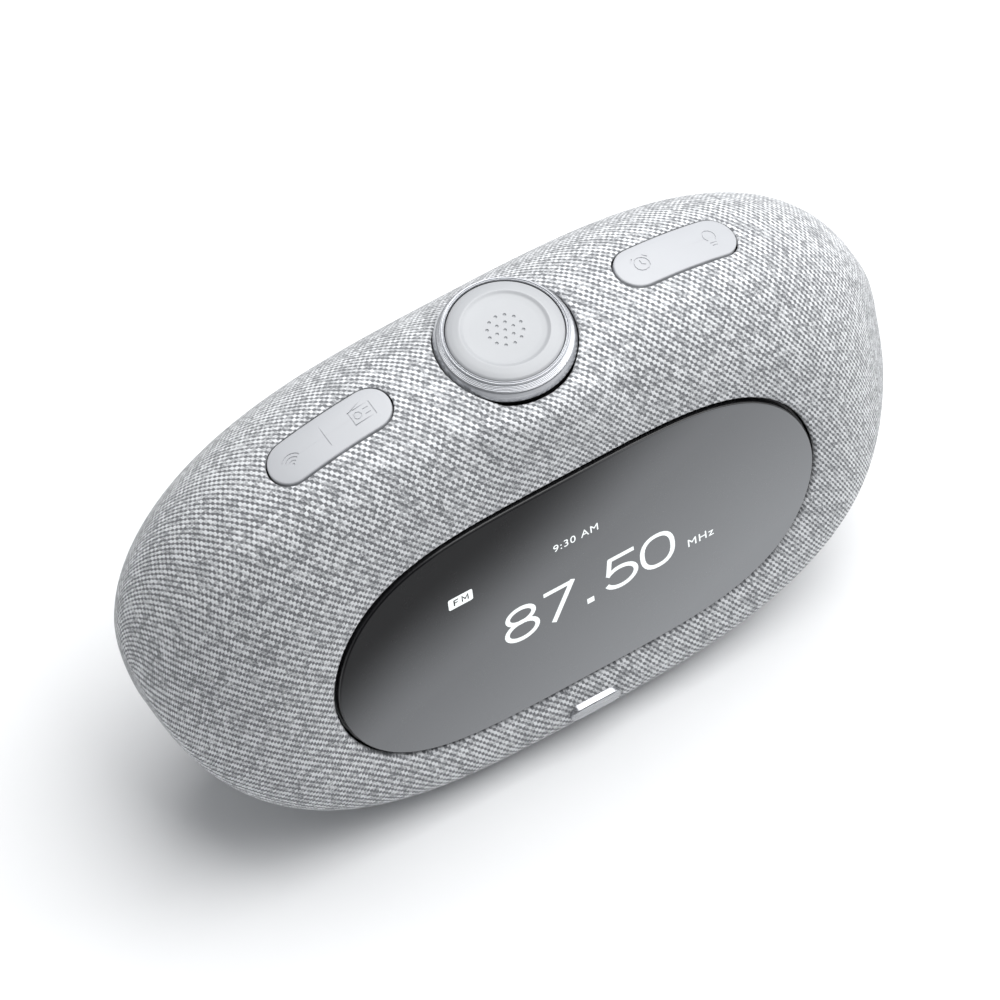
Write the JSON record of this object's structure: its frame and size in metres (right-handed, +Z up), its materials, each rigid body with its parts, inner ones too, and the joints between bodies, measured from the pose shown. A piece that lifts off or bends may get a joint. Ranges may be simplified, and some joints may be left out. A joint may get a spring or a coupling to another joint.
{
  "type": "smart display",
  "caption": "Bedside smart display with a fabric-covered body, a rounded window, a turning knob with a pressable cap, and a rocking button bar on each side.",
  "frame": {"origin": "on the surface it stands on, under the middle of the body", "axes": "+Z up, -Y out of the display, +X to the right seen from the front"},
  "size_m": [0.18, 0.0709, 0.1099],
  "materials": {
    "fabric": "heathered woven cover",
    "cap_plastic": "satin light grey",
    "ring_metal": "turned, satin",
    "shell_plastic": "moulded",
    "dark_plastic": "moulded, fine texture",
    "window_glass": "tinted, polished",
    "screen_film": "screen face",
    "sheet_steel": "stamped",
    "rubber": "matte",
    "board": "solder-masked board",
    "film": "flexible film",
    "cone_paper": "coated pulp",
    "magnet": "plated",
    "screw_steel": "zinc plated"
  },
  "bodies": {
    "case": {"fabric_cover": "fabric", "front_shell": "shell_plastic", "rear_shell": "shell_plastic", "front_badge": "ring_metal", "foot_pad": "rubber", "snooze_dome": "rubber", "base_plate": "dark_plastic", "window_bezel": "dark_plastic", "inner_frame": "dark_plastic", "amplifier_chip": "dark_plastic", "knob_well": "dark_plastic", "snooze_switch": "dark_plastic", "encoder_sensor": "dark_plastic", "rear_panel": "dark_plastic", "power_inlet": "dark_plastic", "audio_jack": "dark_plastic", "base_screw_1": "screw_steel", "base_screw_2": "screw_steel", "base_screw_3": "screw_steel", "base_screw_4": "screw_steel", "left_knob_screw": "screw_steel", "right_knob_screw": "screw_steel", "left_panel_screw": "screw_steel", "right_panel_screw": "screw_steel", "window_glass": "window_glass", "screen_panel": "screen_film", "screen_tray": "sheet_steel", "processor_shield": "sheet_steel", "charging_port": "sheet_steel", "display_cable": "film", "main_board": "board", "antenna_board": "board", "knob_board": "board", "port_board": "board", "left_bar_tray": "dark_plastic", "left_speaker_box": "dark_plastic", "left_key_board": "board", "left_bar_left_key": "rubber", "left_bar_right_key": "rubber", "left_cone_surround": "rubber", "left_speaker_basket": "sheet_steel", "left_speaker_magnet": "magnet", "right_bar_tray": "dark_plastic", "right_speaker_box": "dark_plastic", "right_key_board": "board", "right_bar_left_key": "rubber", "right_bar_right_key": "rubber", "right_cone_surround": "rubber", "right_speaker_basket": "sheet_steel", "right_speaker_magnet": "magnet"},
    "knob": {"knob_ring": "ring_metal", "encoder_wheel": "dark_plastic"},
    "snooze": {"snooze_cap": "cap_plastic"},
    "left_rocker": {"left_bar": "cap_plastic"},
    "right_rocker": {"right_bar": "cap_plastic"},
    "left_cone": {"left_speaker_cone": "cone_paper"},
    "right_cone": {"right_speaker_cone": "cone_paper"}
  },
  "joints": [
    {"name": "knob_turn", "type": "hinge", "parent": "case", "child": "knob", "pos_m": [0, 0.00113, 0.102], "axis": [0, 0, 1], "continuous": true},
    {"name": "snooze_press", "type": "slide", "parent": "case", "child": "snooze", "axis": [0, 0, -1], "range_m": [0, 0.0007], "stiffness_N_per_m": 1500, "deforming": ["snooze_dome"]},
    {"name": "left_rock", "type": "hinge", "parent": "case", "child": "left_rocker", "pos_m": [-0.04143, 0.00193, 0.0995], "axis": [0, 1, 0], "range_deg": [-2, 2], "stiffness_Nm_per_rad": 0.5},
    {"name": "right_rock", "type": "hinge", "parent": "case", "child": "right_rocker", "pos_m": [0.04143, 0.00193, 0.0995], "axis": [0, 1, 0], "range_deg": [-2, 2], "stiffness_Nm_per_rad": 0.5},
    {"name": "left_cone_stroke", "type": "slide", "parent": "case", "child": "left_cone", "axis": [-1, 0, 0], "range_m": [-0.0012, 0.0012], "stiffness_N_per_m": 1500},
    {"name": "right_cone_stroke", "type": "slide", "parent": "case", "child": "right_cone", "axis": [1, 0, 0], "range_m": [-0.0012, 0.0012], "stiffness_N_per_m": 1500}
  ]
}
